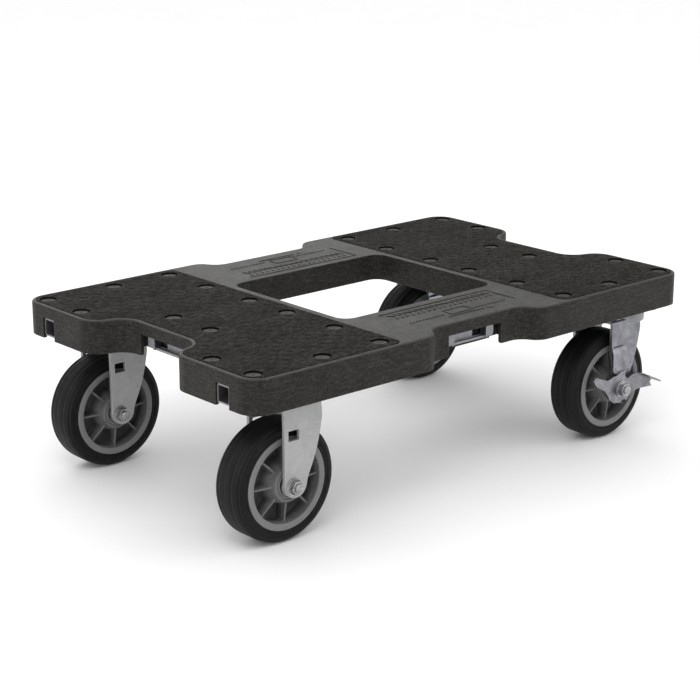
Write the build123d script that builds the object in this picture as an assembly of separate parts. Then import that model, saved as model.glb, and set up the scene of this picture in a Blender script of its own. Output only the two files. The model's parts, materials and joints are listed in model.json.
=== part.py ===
from build123d import *
import math
import os

# Four-wheel platform dolly. Millimetres, +Z up. X runs along the deck, from the two fixed casters
# at -X to the two swivel casters at +X. The origin is on the floor under the middle of the deck.

# ---- deck ----
deck_length = 812.8
deck_width = 516.0
deck_top = 244.0
skirt_depth = 47.0
skirt_wall = 5.0
top_plate = 8.0
deck_corner_radius = 30.0
deck_edge_round = 3.0
waist_depth = 28.0
waist_flat = 70.0
waist_end = 115.0
notch_depth = 52.0
notch_flat = 55.0
notch_end = 118.0
opening_length = 286.0
opening_width = 248.0
opening_radius = 20.0
opening_wall_depth = 39.0
rib_thickness = 3.0
rib_pitch = 58.0
rib_depth = 38.0

# ---- raised stretches of skirt in front of the strap anchors ----
raised_skirt_depth = 17.0
raised_skirt_half = 50.0
skirt_corner_round = 6.0

# ---- tread pads and their rivets ----
pad_inner_x = 153.0
pad_rim = 5.0
pad_groove = 0.8
pad_thickness = 5.0
pad_proud = 1.0
pad_corner_radius = 15.0
rivet_seat_radius = 12.0
rivet_seat_depth = 3.6
rivet_head_radius = 10.5
rivet_head = 1.0
rivet_shank_radius = 3.0
rivet_tail_radius = 4.2
rivet_first_gap = 22.0
rivet_outer_gap = 22.4
rivet_middle_share = 0.469
rivet_inner_share = 0.627
rivet_edge_gap = 28.0
rivet_second_gap = 118.0
rivet_near_middle = 41.0
rivet_corner_gap = 111.0

# ---- strap anchors ----
anchor_sheet = 3.0
anchor_depth = 11.0
anchor_height = 28.0
anchor_face = 42.0
anchor_slot = 19.0
anchor_slot_height = 19.0
anchor_near_tab = 15.0
anchor_far_tab = 14.0
anchor_drop = 35.0
anchor_clearance = 0.2
anchor_screw_radius = 2.5
hook_space = 14.0

# ---- push-handle sockets ----
socket_from_edge = 62.0
socket_size = 25.0
socket_wall = 2.0
socket_corner = 4.0
socket_length = 44.0
socket_setback = 2.0
socket_top_drop = 18.0
socket_notch = 27.0
socket_screw_radius = 2.5

# ---- wheels ----
wheel_radius = 81.0
tread_half = 25.0
shoulder_radius = 11.0
tyre_depth = 18.0
rim_depth = 9.0
rim_proud = 0.5
web_half = 2.5
spoke_count = 8
spoke_thickness = 2.6
hub_half = 30.0
hub_face_radius = 23.0
hub_flare_radius = 31.0
bearing_radius = 15.5
bearing_width = 13.0
bearing_inset = 0.8
spacer_radius = 9.0
axle_radius = 6.0
shaft_clearance = 0.06
fit_clearance = 0.1

# ---- forks ----
rigid_from_end = 85.4
rigid_from_edge = 67.0
swivel_from_end = 73.4
swivel_from_edge = 64.0
trail = 36.0
leg_gap_half = 33.3
leg_thickness = 5.0
leg_back = -14.0
leg_front = 48.0
leg_foot_radius = 18.0
leg_foot_offset = 4.0
leg_foot_level = 1.5
window_drop = 24.0
window_height = 14.0
window_from = -8.0
window_to = 10.0
leg_curve_start = 10.0
leg_curve_top = 85.0
mount_drop = 46.0
fork_plate_length = 102.0
fork_plate_width = 92.0
fork_plate = 5.0
fork_web = 5.0
bolt_spacing_x = 80.0
bolt_spacing_y = 68.0
mount_bolt_radius = 4.0
insert_radius = 6.5
insert_length = 16.0
tower_radius = 10.5

# ---- swivel ----
swivel_gap = 3.5
ball_radius = 3.2
ball_ring_radius = 27.0
ball_count = 20
dish_radius = 42.0
dish_depth = 15.0
dish_step = 5.5
kingpin_radius = 7.0

# ---- side brake ----
lever_standoff = 5.5
lever_thickness = 3.0
lever_hub_radius = 13.0
pedal_width = 17.5
leaf_standoff = 3.0
leaf_thickness = 2.0
leaf_pivot = 62.0
leaf_bottom = 24.0
leaf_half = 15.0
leaf_pad_height = 36.0
leaf_pad_radius = 4.5

# ---- worked-out levels ----
deck_bottom = deck_top - skirt_depth
half_length = deck_length / 2
half_width = deck_width / 2
plate_underside = deck_top - top_plate
mount_z = deck_top - mount_drop
pad_top = deck_top + pad_proud
axle_z = wheel_radius
core_radius = wheel_radius - tyre_depth
rim_inner_radius = core_radius - rim_depth
rigid_wheel_x = rigid_from_end - half_length
rigid_wheel_y = half_width - rigid_from_edge
swivel_axis_x = half_length - swivel_from_end
swivel_wheel_y = half_width - swivel_from_edge
socket_y = half_width - socket_from_edge
waist_y = half_width - waist_depth
notch_x = half_length - notch_depth
leg_outer = leg_gap_half + leg_thickness
fork_centre_offset = (leg_back + leg_front) / 2
swivel_wheel_x = swivel_axis_x - trail
rigid_plate_x = rigid_wheel_x + fork_centre_offset
nodes = {}


def cylinder_y(radius, y_from, y_to, x=0.0, z=0.0):
    """Solid cylinder along Y between two Y values."""
    middle = (y_from + y_to) / 2
    return Pos(x, middle, z) * Rot(90, 0, 0) * Cylinder(radius, abs(y_to - y_from))


def cylinder_z(radius, z_from, z_to, x=0.0, y=0.0):
    """Solid cylinder along Z between two Z values."""
    middle = (z_from + z_to) / 2
    return Pos(x, y, middle) * Cylinder(radius, abs(z_to - z_from))


def block(x_range, y_range, z_range):
    """Box given by its low and high limits."""
    size = [abs(high - low) for low, high in (x_range, y_range, z_range)]
    centre = [(high + low) / 2 for low, high in (x_range, y_range, z_range)]
    return Pos(*centre) * Box(*size)


def hexagon(across_flats, z_from, z_to):
    """Hexagonal prism along Z with lightly rounded corners, as on a bolt head."""
    prism = extrude(RegularPolygon(across_flats / 2, 6, major_radius=False), z_to - z_from)
    rounding = Cylinder(across_flats * 0.56, z_to - z_from, align=(Align.CENTER, Align.CENTER, Align.MIN))
    return Pos(0, 0, z_from) * (prism & rounding)


def turn_to_y(solid, y_sign):
    """Turn a solid made along +Z so that it points along y_sign * Y."""
    return Rot(-90 * y_sign, 0, 0) * solid


def s_curve(start, end, tangent):
    """Two tangent arcs that join two parallel straight runs."""
    middle = ((start[0] + end[0]) / 2, (start[1] + end[1]) / 2)
    first = TangentArc(start, middle, tangent=tangent)
    second = TangentArc(middle, end, tangent=first % 1)
    return [first, second]


def deck_outline():
    """Plan of the deck: a rounded rectangle with a waist in each long side and a notch in each end."""
    edges = [Line((0, waist_y), (waist_flat, waist_y))]
    edges += s_curve((waist_flat, waist_y), (waist_end, half_width), (1, 0))
    corner_x = half_length - deck_corner_radius
    corner_y = half_width - deck_corner_radius
    edges.append(Line((waist_end, half_width), (corner_x, half_width)))
    edges.append(TangentArc((corner_x, half_width), (half_length, corner_y), tangent=(1, 0)))
    edges.append(Line((half_length, corner_y), (half_length, notch_end)))
    edges += s_curve((half_length, notch_end), (notch_x, notch_flat), (0, -1))
    edges.append(Line((notch_x, notch_flat), (notch_x, 0)))
    quarter = Curve() + edges
    half = quarter + mirror(quarter, Plane.YZ)
    return make_face(half + mirror(half, Plane.XZ))


def pad_outline(side, inset):
    """One end of the deck's plan, drawn in by inset, with its inner corners rounded."""
    plan = offset(outline, -inset)
    inner = pad_inner_x + (inset - pad_rim)
    keep = Pos(side * (inner + deck_length / 2), 0) * Rectangle(deck_length, deck_width * 2)
    plan = plan & keep
    corners = [v for v in plan.vertices() if abs(abs(v.X) - inner) < 0.01]
    return fillet(corners, pad_corner_radius)


def rivet_points(side):
    """Centres of the fourteen pad rivets of one end."""
    near = pad_inner_x + rivet_first_gap
    far = half_length - rivet_outer_gap
    middle = near + (far - near) * rivet_middle_share
    inner = near + (far - near) * rivet_inner_share
    edge = half_width - rivet_edge_gap
    second = half_width - rivet_second_gap
    points = []
    for sign in (-1, 1):
        points += [(side * near, sign * y) for y in (edge, second, rivet_near_middle)]
        points += [(side * middle, sign * edge), (side * far, sign * edge)]
        points.append((side * far, sign * (half_width - rivet_corner_gap)))
        points.append((side * inner, sign * rivet_near_middle))
    return points


def bolt_points(centre_x, centre_y):
    """The four mounting-bolt positions of one caster."""
    signs = [(-1, -1), (1, -1), (1, 1), (-1, 1)]
    return [(centre_x + a * bolt_spacing_x / 2, centre_y + b * bolt_spacing_y / 2) for a, b in signs]


def skirt_gap(width, height):
    """Side view of a gap in the skirt whose two lower corners are rounded outwards."""
    r = skirt_corner_round
    shape = Rectangle(width, height)
    for sign in (-1, 1):
        corner = Pos(sign * (width + r) / 2, (r - height) / 2) * Rectangle(r, r)
        corner -= Pos(sign * (width / 2 + r), r - height / 2) * Circle(r)
        shape += corner
    return shape


outline = deck_outline()
caster_centres = [(rigid_plate_x, -rigid_wheel_y), (rigid_plate_x, rigid_wheel_y)]
caster_centres += [(swivel_axis_x, -swivel_wheel_y), (swivel_axis_x, swivel_wheel_y)]


def anchor_place(name):
    """Where a strap anchor sits: X along it, Z up, Y pointing inwards, origin on the deck's inner wall."""
    reach = skirt_wall + anchor_clearance
    if name == "front":
        return Pos(0, -waist_y + reach, 0)
    if name == "rear":
        return Pos(0, waist_y - reach, 0) * Rot(0, 0, 180)
    if name == "left":
        return Pos(-notch_x + reach, 0, 0) * Rot(0, 0, -90)
    return Pos(notch_x - reach, 0, 0) * Rot(0, 0, 90)


def put_anchor(name, solid):
    """Place a solid of one anchor; the anchors in the end notches are handed the other way."""
    if name in ("left", "right"):
        solid = mirror(solid, Plane.YZ)
    return anchor_place(name) * solid


def make_deck():
    deck = Pos(0, 0, deck_bottom) * extrude(outline, skirt_depth)
    top_edges = deck.faces().sort_by(Axis.Z)[-1].edges()
    deck = fillet(top_edges, deck_edge_round)
    cavity_plan = offset(outline, -skirt_wall)
    deck -= Pos(0, 0, deck_bottom - 1) * extrude(cavity_plan, skirt_depth - top_plate + 1)

    # ribs under the top plate, with a frame and four screw towers over each caster
    ribs = Sketch()
    rows = int(half_width / rib_pitch)
    for k in range(-rows, rows + 1):
        ribs += Pos(0, k * rib_pitch) * Rectangle(deck_length, rib_thickness)
    columns = int(half_length / rib_pitch)
    for k in range(-columns, columns + 1):
        ribs += Pos(k * rib_pitch, 0) * Rectangle(rib_thickness, deck_width)
    inner_plan = offset(outline, -skirt_wall + 0.5)
    ribs = ribs & inner_plan
    under = Pos(0, 0, deck_top - rib_depth) * extrude(ribs, rib_depth - top_plate + 0.5)
    frame_height = plate_underside - mount_z + 0.5
    for centre_x, centre_y in caster_centres:
        ring = Rectangle(fork_plate_length, fork_plate_width)
        ring -= Rectangle(fork_plate_length - 8, fork_plate_width - 8)
        under += Pos(centre_x, centre_y, mount_z) * extrude(ring, frame_height)
        for x, y in bolt_points(centre_x, centre_y):
            under += cylinder_z(tower_radius, mount_z, plate_underside + 0.5, x, y)
        # room for the kingpin head or the fork's welds
        under -= cylinder_z(17, mount_z - 1, mount_z + 14, centre_x, centre_y)

    wall_plan = RectangleRounded(opening_length + 2 * skirt_wall, opening_width + 2 * skirt_wall,
                                 opening_radius + skirt_wall)
    under += Pos(0, 0, deck_top - opening_wall_depth) * extrude(wall_plan, opening_wall_depth - top_plate + 0.5)

    # pads that the strap anchors screw to, and clear space around anchors and sockets
    for name in ("front", "rear", "left", "right"):
        reach = raised_skirt_half + 8
        seat_z = (deck_top - anchor_drop - 4, plate_underside + 0.5)
        under += put_anchor(name, block((-reach, reach), (anchor_depth, anchor_depth + 6), seat_z))
        screen_y = (anchor_depth + hook_space, anchor_depth + hook_space + rib_thickness)
        under += put_anchor(name, block((-reach, reach), screen_y, (deck_bottom, plate_underside + 0.5)))
        clear_z = (deck_bottom - 1, plate_underside)
        under -= put_anchor(name, block((-reach + 3, reach - 3), (-anchor_clearance, anchor_depth), clear_z))
        slot_start, slot_low = anchor_slot_corner()
        hook_x = (slot_start - 1, slot_start + anchor_slot + 1)
        hook_z = (slot_low - 1, slot_low + anchor_slot_height + 1)
        under -= put_anchor(name, block(hook_x, (anchor_depth - 1, anchor_depth + hook_space), hook_z))
    for end in (-1, 1):
        for side in (-1, 1):
            middle = side * socket_y
            reach = socket_size / 2 + 1
            inner = half_length - socket_setback - socket_length - 1
            top = deck_top - socket_top_drop
            span_x = sorted((end * inner, end * (half_length - 1)))
            under -= block(span_x, (middle - reach, middle + reach), (deck_bottom - 1, plate_underside))
            seat_x = sorted((end * (inner + 1), end * (half_length - skirt_wall + 0.5)))
            under += block(seat_x, (middle - 9, middle + 9), (top, plate_underside + 0.5))

    # the deck's inside limits everything hung under it
    deck += under
    opening = RectangleRounded(opening_length, opening_width, opening_radius)
    deck -= Pos(0, 0, deck_bottom - 1) * extrude(opening, skirt_depth + 2)

    # raised skirt in the waists and the end notches
    gap_height = skirt_depth - raised_skirt_depth + 2
    gap_middle = deck_top - raised_skirt_depth - gap_height / 2
    for name in ("front", "rear", "left", "right"):
        profile = Plane.XZ * skirt_gap(2 * raised_skirt_half, gap_height)
        cutter = Pos(0, -skirt_wall - 8, gap_middle) * extrude(profile, -(skirt_wall + 8 - 0.05))
        deck -= put_anchor(name, cutter)

    # notches for the handle sockets in the short ends
    notch_top = deck_top - socket_top_drop + 1
    for end in (-1, 1):
        for side in (-1, 1):
            span_x = sorted((end * (half_length - skirt_wall - 1), end * (half_length + 1)))
            middle = side * socket_y
            deck -= block(span_x, (middle - socket_notch / 2, middle + socket_notch / 2),
                          (deck_bottom - 1, notch_top))

    # recesses for the tread pads, rivet holes, insert holes and screw holes
    for side in (-1, 1):
        recess = pad_outline(side, pad_rim)
        deck -= Pos(0, 0, pad_top - pad_thickness) * extrude(recess, pad_thickness + 1)
        for x, y in rivet_points(side):
            deck -= cylinder_z(rivet_shank_radius + fit_clearance, plate_underside - 30, deck_top + 2, x, y)
    for centre_x, centre_y in caster_centres:
        for x, y in bolt_points(centre_x, centre_y):
            deck -= cylinder_z(insert_radius, mount_z - 1, mount_z + insert_length, x, y)
    for x, y in socket_screw_points():
        z_top = deck_top - socket_top_drop
        deck -= cylinder_z(socket_screw_radius, z_top - 1, z_top + 8.2, x, y)
    for name in ("front", "rear", "left", "right"):
        for x, z in anchor_screw_points():
            hole = cylinder_y(anchor_screw_radius, anchor_depth - 1, anchor_depth + 5, x, z)
            deck -= put_anchor(name, hole)
    return deck


def socket_screw_points():
    """Two screws through the roof of each handle socket."""
    inner = half_length - socket_setback - socket_length
    points = []
    for end in (-1, 1):
        for side in (-1, 1):
            points += [(end * (inner + 12), side * socket_y), (end * (inner + 28), side * socket_y)]
    return points


def anchor_screw_points():
    """Two screws through an anchor's base, high up behind the raised skirt."""
    return [(anchor_start() + anchor_near_tab + 10, deck_top - top_plate - 5),
            (anchor_start() + anchor_near_tab + 32, deck_top - top_plate - 5)]


def anchor_start():
    """Local X of an anchor's wide end tab, hard against the end of the skirt gap."""
    return -raised_skirt_half


def anchor_slot_corner():
    """Local X and Z of the low corner of an anchor's hook slot."""
    x = anchor_start() + anchor_near_tab + anchor_face
    return x, deck_top - anchor_drop + anchor_sheet + 1


def make_anchor(name):
    x0 = anchor_start()
    x1 = x0 + anchor_near_tab
    x2 = x1 + anchor_face
    x3 = x2 + anchor_slot
    x4 = x3 + anchor_far_tab
    top = deck_top - top_plate - 0.3
    low = deck_top - anchor_drop
    back = anchor_depth
    front = 0.0
    sheet = anchor_sheet
    body = block((x1 - sheet, x3 + sheet), (back - sheet, back), (low, top))
    body += block((x0, x1), (front, front + sheet), (low + 1.5, top))
    body += block((x1 - sheet, x1), (front, back), (low, top))
    body += block((x3, x4), (front, front + sheet), (low + 1.5, top))
    body += block((x3, x3 + sheet), (front, back), (low, top))
    body += block((x1, x3), (front + 2.5, back), (low, low + sheet))
    slot_low = anchor_slot_corner()[1]
    body -= block((x2, x3), (front - 1, back + 1), (slot_low, slot_low + anchor_slot_height))
    ends = [e for e in body.edges().filter_by(Axis.Y) if abs(e.center().X - x4) < 0.01]
    body = fillet(ends, 4.0)
    for x, z in anchor_screw_points():
        body -= cylinder_y(anchor_screw_radius + fit_clearance, front - 1, back + 1, x, z)
    nodes[name + "_strap_anchor"] = put_anchor(name, body)


def anchor_screws():
    group = []
    for name in ("front", "rear", "left", "right"):
        for x, z in anchor_screw_points():
            shank = cylinder_y(anchor_screw_radius, anchor_depth - anchor_sheet, anchor_depth + 4.5, x, z)
            head = cylinder_y(4.8, anchor_depth - anchor_sheet - 2.5, anchor_depth - anchor_sheet, x, z)
            group.append(put_anchor(name, shank + head))
    return group


def make_socket(end, side):
    top = deck_top - socket_top_drop
    inner = half_length - socket_setback - socket_length
    outer = half_length - socket_setback
    tube = RectangleRounded(socket_size, socket_size, socket_corner)
    tube -= RectangleRounded(socket_size - 2 * socket_wall, socket_size - 2 * socket_wall,
                             socket_corner - socket_wall)
    body = extrude(Plane.YZ * tube, outer - inner)
    body = Pos(inner, side * socket_y, top - socket_size / 2) * body
    for x, y in socket_screw_points():
        if x > 0 and y * side > 0:
            body -= cylinder_z(socket_screw_radius + fit_clearance, top - 6, top + 1, x, y)
    if end < 0:
        body = mirror(body, Plane.YZ)
    return body


def socket_screws():
    top = deck_top - socket_top_drop
    group = []
    for x, y in socket_screw_points():
        shank = cylinder_z(socket_screw_radius, top - socket_wall, top + 8, x, y)
        head = cylinder_z(4.6, top - socket_wall - 2.4, top - socket_wall, x, y)
        group.append(shank + head)
    return group


def make_pad(side):
    plan = pad_outline(side, pad_rim + pad_groove)
    pad = Pos(0, 0, pad_top - pad_thickness) * extrude(plan, pad_thickness)
    for x, y in rivet_points(side):
        pad -= cylinder_z(rivet_seat_radius, pad_top - rivet_seat_depth, pad_top + 1, x, y)
        pad -= cylinder_z(rivet_shank_radius + fit_clearance, pad_top - pad_thickness - 1, pad_top, x, y)
    return pad


def pad_rivets(side):
    seat = pad_top - rivet_seat_depth
    group = []
    for x, y in rivet_points(side):
        rivet = cylinder_z(rivet_head_radius, seat, seat + rivet_head, x, y)
        rivet -= cylinder_z(1.6, seat + rivet_head - 0.5, seat + rivet_head + 1, x, y)
        rivet += cylinder_z(rivet_shank_radius, plate_underside - 2.4, seat + 0.3, x, y)
        group.append(rivet)
    return group


def leg_profile(top):
    """Outline of a fork leg in (along X from the axle, up from the axle)."""
    foot = leg_foot_radius
    cx = leg_foot_offset
    side = cx + foot
    level = leg_foot_level
    curve_point = (leg_front - 9.0, leg_curve_start + 30.0)
    outline_edges = [
        Line((leg_back, top), (leg_back, level)),
        ThreePointArc((leg_back, level), (cx, level - foot), (side, level)),
        Line((side, level), (side + 2.5, leg_curve_start)),
        ThreePointArc((side + 2.5, leg_curve_start), curve_point, (leg_front, leg_curve_top)),
        Line((leg_front, leg_curve_top), (leg_front - 2, top)),
        Line((leg_front - 2, top), (leg_back, top)),
    ]
    return make_face(Curve() + outline_edges)


def fork_legs(top_above_axle):
    """Both legs and the web between them, about an axle at the origin."""
    profile = Plane.XZ * leg_profile(top_above_axle)
    solid = Pos(0, leg_outer, 0) * extrude(profile, 2 * leg_outer)
    round_edges = [e for e in solid.edges().filter_by(Axis.X) if abs(e.center().Z - top_above_axle) < 0.01]
    solid = fillet(round_edges, 6.0)
    inner_top = top_above_axle - fork_web
    room = block((leg_back - 30, leg_front + 30), (-leg_gap_half, leg_gap_half), (-60, inner_top))
    room = fillet([e for e in room.edges().filter_by(Axis.X) if e.center().Z > 0], 3.0)
    solid -= room
    solid -= cylinder_y(axle_radius + fit_clearance, -leg_outer - 1, leg_outer + 1)
    return solid


def make_rigid_fork():
    """Fixed fork with its mounting plate, about the axle."""
    top = mount_z - axle_z
    fork = fork_legs(top - fork_plate)
    plate = RectangleRounded(fork_plate_length, fork_plate_width, 8)
    for x, y in bolt_points(0, 0):
        plate -= Pos(x, y) * Circle(mount_bolt_radius + 0.4)
    fork += Pos(fork_centre_offset, 0, top - fork_plate) * extrude(plate, fork_plate)
    window_z = (leg_curve_top - window_drop, leg_curve_top - window_drop + window_height)
    window = block((window_from, window_to), (-leg_outer - 1, leg_outer + 1), window_z)
    fork -= window
    return fork


def make_swivel_plate():
    """Mounting plate of a swivel caster, about the swivel axis, top face at the mounting level."""
    plate = RectangleRounded(fork_plate_length, fork_plate_width, 8)
    for x, y in bolt_points(0, 0):
        plate -= Pos(x, y) * Circle(mount_bolt_radius + 0.4)
    plate -= Circle(kingpin_radius + fit_clearance)
    solid = Pos(0, 0, mount_z - fork_plate) * extrude(plate, fork_plate)
    return solid - race_groove(mount_z - fork_plate - swivel_gap / 2)


def race_groove(level):
    """Ball track shared by the plate above and the yoke below."""
    ring = Pos(ball_ring_radius, level) * Circle(ball_radius + 0.12)
    return revolve(Plane.XZ * ring, Axis.Z)


def make_balls():
    level = mount_z - fork_plate - swivel_gap / 2
    group = []
    for k in range(ball_count):
        angle = 2 * math.pi * k / ball_count
        x = ball_ring_radius * math.cos(angle)
        y = ball_ring_radius * math.sin(angle)
        group.append(Pos(x, y, level) * Sphere(ball_radius))
    return group


def make_kingpin():
    """Bolt down through the plate and the yoke, with its head inside the deck."""
    low = mount_z - fork_plate - swivel_gap - dish_step - fork_web - 12
    pin = hexagon(21, mount_z, mount_z + 8)
    pin += cylinder_z(kingpin_radius, low, mount_z)
    return pin


def make_kingpin_nut():
    top = mount_z - fork_plate - swivel_gap - dish_step - fork_web - 0.3
    nut = hexagon(21, top - 9, top - 1.5)
    nut += cylinder_z(14, top - 1.5, top)
    return nut - cylinder_z(kingpin_radius, top - 12, top + 1)


def make_yoke():
    """Swivelling fork, about its axle; the swivel axis is at X = trail."""
    top = mount_z - fork_plate - swivel_gap - axle_z
    yoke = fork_legs(top - dish_step)
    dish = Circle(dish_radius)
    yoke += Pos(trail, 0, top - dish_step - fork_web) * extrude(dish, fork_web + dish_step)
    skirt = Circle(dish_radius) - Circle(dish_radius - 3.5)
    yoke += Pos(trail, 0, top - dish_depth) * extrude(skirt, dish_depth)
    yoke -= cylinder_z(kingpin_radius + shaft_clearance, top - 30, top + 1, trail)
    yoke -= Pos(trail, 0, -axle_z) * race_groove(mount_z - fork_plate - swivel_gap / 2)
    slot = block((-leaf_half + 5.5, leaf_half - 5.5), (-leg_outer - 1, -leg_gap_half + 1),
                 (leaf_pivot - 2.2, leaf_pivot + 2.2))
    yoke -= slot
    yoke -= cylinder_y(leaf_pad_radius + 1.6, -leg_outer - 1, -leg_gap_half + 1, 0, leaf_pad_height)
    return yoke


def make_tyre():
    flat = tread_half - shoulder_radius
    edges = [
        Line((core_radius, -tread_half), (wheel_radius - shoulder_radius, -tread_half)),
        TangentArc((wheel_radius - shoulder_radius, -tread_half), (wheel_radius, -flat), tangent=(1, 0)),
        Line((wheel_radius, -flat), (wheel_radius, flat)),
        TangentArc((wheel_radius, flat), (wheel_radius - shoulder_radius, tread_half), tangent=(0, 1)),
        Line((wheel_radius - shoulder_radius, tread_half), (core_radius, tread_half)),
        Line((core_radius, tread_half), (core_radius, -tread_half)),
    ]
    return revolve(make_face(Curve() + edges), Axis.Y)


def make_core():
    """Moulded wheel centre: rim, thin web, flared hub and ribs."""
    rim = tread_half + rim_proud
    half_points = [
        (core_radius, 0), (core_radius, rim - 0.8), (core_radius - 0.8, rim), (rim_inner_radius, rim),
        (rim_inner_radius - 2.5, web_half), (hub_flare_radius, web_half), (hub_face_radius, hub_half),
        (bearing_radius, hub_half), (bearing_radius, hub_half - bearing_inset - bearing_width),
        (spacer_radius + 3, hub_half - bearing_inset - bearing_width), (spacer_radius + 3, 0),
    ]
    half = revolve(make_face(Polyline(*half_points, close=True)), Axis.Y)
    core = half + mirror(half, Plane.XZ)
    rib_plan = Polyline((hub_face_radius + 1, -23), (rim_inner_radius + 1, -19), (rim_inner_radius + 1, 19),
                        (hub_face_radius + 1, 23), close=True)
    rib = Pos(0, 0, -spoke_thickness / 2) * extrude(make_face(rib_plan), spoke_thickness)
    for k in range(spoke_count):
        core += Rot(0, 360 * k / spoke_count, 0) * rib
    return core


def make_bearings():
    """Two pressed-in bearings, each a ring with a recessed shield."""
    group = []
    for sign in (-1, 1):
        outer_y = hub_half - bearing_inset
        inner_y = outer_y - bearing_width
        inner_r = spacer_radius + shaft_clearance
        points = [(inner_r, inner_y), (bearing_radius, inner_y), (bearing_radius, outer_y),
                  (bearing_radius - 2, outer_y), (bearing_radius - 2, outer_y - 0.6),
                  (inner_r + 1.8, outer_y - 0.6), (inner_r + 1.8, outer_y), (inner_r, outer_y)]
        ring = revolve(make_face(Polyline(*points, close=True)), Axis.Y)
        group.append(ring if sign > 0 else mirror(ring, Plane.XZ))
    return group


def make_spacer():
    half = leg_gap_half - fit_clearance / 2
    return cylinder_y(spacer_radius, -half, half) - cylinder_y(axle_radius + fit_clearance, -half - 1, half + 1)


def make_hub_washers():
    group = []
    for sign in (-1, 1):
        low = hub_half + 0.4
        high = leg_gap_half - fit_clearance / 2
        ring = cylinder_y(14.5, sign * low, sign * high)
        group.append(ring - cylinder_y(spacer_radius + fit_clearance, sign * (low - 1), sign * (high + 1)))
    return group


def make_axle_bolt(nut_start):
    """Hex bolt through both legs, head at +Y, threaded end at -Y."""
    head = turn_to_y(hexagon(18, 1.6, 9), 1)
    head += cylinder_y(12, 0, 1.6)
    bolt = Pos(0, leg_outer, 0) * head
    bolt += cylinder_y(axle_radius, -nut_start - 13, leg_outer + 2)
    tip = turn_to_y(Cone(axle_radius + 1.2, axle_radius - 1.2, 2.4), -1)
    bolt -= cylinder_y(axle_radius + 2, -nut_start - 13 - 0.01, -nut_start - 12) - Pos(0, -nut_start - 12, 0) * tip
    return bolt


def make_axle_nut(nut_start):
    nut = turn_to_y(hexagon(18, 1.6, 10), -1)
    nut += cylinder_y(12, -1.6, 0)
    nut -= cylinder_y(axle_radius, -20, 5)
    return Pos(0, -nut_start, 0) * nut


def make_brake_lever():
    """Star-shaped side-brake lever on the axle, with a pedal and a release toe."""
    inner = -(leg_outer + lever_standoff)
    outer = inner - lever_thickness
    right_arm = Polyline((0, 14), (14, 11), (23, 16), (33, 17.5), (52, 13), (70, 3), (66, -3.5), (70, -10),
                         (42, -8), (27, -8.5), (20, -14), (0, -14), close=True)
    left_arm = Polyline((0, 14), (-14, 22), (-30, 18), (-57, 28), (-61, 24), (-57, 17), (-51, 12), (-36, 3.5),
                        (-28, -6), (-25, -12), (0, -14), close=True)
    neck = Polyline((-14, 20), (-1, 25.5), (8.5, 26), (8, 12), (-14, 12), close=True)
    foot = Polyline((-24, -12), (-15, -19.5), (0, -21.5), (3.5, -15), (13.5, -20.5), (20, -13), (0, 0), close=True)
    plan = Circle(19)
    for shape in (right_arm, left_arm, neck, foot):
        plan += make_face(shape)
    plan -= Circle(axle_radius + shaft_clearance)
    plate = Pos(0, inner, 0) * extrude(Plane.XZ * plan, lever_thickness)
    collar = cylinder_y(lever_hub_radius, inner, -leg_outer - 0.3)
    collar -= cylinder_y(axle_radius + shaft_clearance, inner - 1, -leg_outer + 1)
    plate += collar
    pedal_top = Polyline((44, 15.1), (71, 2.4), (70, 0.2), (43, 12.9), close=True)
    pedal = Pos(0, outer + 0.5, 0) * extrude(Plane.XZ * make_face(pedal_top), pedal_width)
    return plate + pedal


def make_brake_leaf():
    """Sprung leaf hung in a slot of the leg; its pad reaches through the leg towards the wheel."""
    face = leg_outer + leaf_standoff
    back = face + leaf_thickness
    section = Polyline((-leg_outer + 2.5, leaf_pivot + 1), (-leg_outer - 0.6, leaf_pivot + 1),
                       (-leg_outer - 2.4, leaf_pivot - 1), (-back, leaf_pivot - 8), (-back, leaf_bottom),
                       (-face, leaf_bottom), (-face, leaf_pivot - 8), (-leg_outer - 0.5, leaf_pivot - 2.5),
                       (-leg_outer - 0.5, leaf_pivot - 1), (-leg_outer + 2.5, leaf_pivot - 1), close=True)
    wide = extrude(Plane.YZ * make_face(section), leaf_half, both=True)
    tab_limit = block((-leaf_half + 6, leaf_half - 6), (-leg_outer - 0.45, 0), (0, 200))
    main_limit = block((-leaf_half, leaf_half), (-100, -leg_outer - 0.45), (0, 200))
    leaf = (wide & main_limit) + (wide & tab_limit)
    corners = [e for e in leaf.edges().filter_by(Axis.Y) if abs(e.center().Z - leaf_bottom) < 0.01]
    leaf = fillet(corners, 7.0)
    leaf += cylinder_y(leaf_pad_radius, -face - 0.5, -hub_half - 1.5, 0, leaf_pad_height)
    return leaf


def place_all(solids, x, y, z):
    return [Pos(x, y, z) * solid for solid in solids]


nodes["deck"] = make_deck()
for side, label in ((-1, "left"), (1, "right")):
    nodes[label + "_tread_pad"] = make_pad(side)
    nodes[label + "_pad_rivets"] = pad_rivets(side)
for anchor in ("front", "rear", "left", "right"):
    make_anchor(anchor)
nodes["strap_anchor_screws"] = anchor_screws()
for end, end_label in ((-1, "left"), (1, "right")):
    for side, side_label in ((-1, "front"), (1, "rear")):
        nodes[side_label + "_" + end_label + "_handle_socket"] = make_socket(end, side)
nodes["handle_socket_screws"] = socket_screws()

inserts = []
bolts = []
for centre_x, centre_y in caster_centres:
    for x, y in bolt_points(centre_x, centre_y):
        insert = cylinder_z(insert_radius, mount_z, mount_z + insert_length, x, y)
        inserts.append(insert - cylinder_z(mount_bolt_radius, mount_z - 1, mount_z + insert_length + 1, x, y))
        bolt = cylinder_z(mount_bolt_radius, mount_z - fork_plate, mount_z + insert_length - 1, x, y)
        bolt += cylinder_z(8.5, mount_z - fork_plate - 1.4, mount_z - fork_plate, x, y)
        bolt += Pos(x, y, 0) * hexagon(13, mount_z - fork_plate - 7, mount_z - fork_plate - 1)
        bolts.append(bolt)
nodes["deck_inserts"] = inserts
nodes["caster_mounting_bolts"] = bolts

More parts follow.
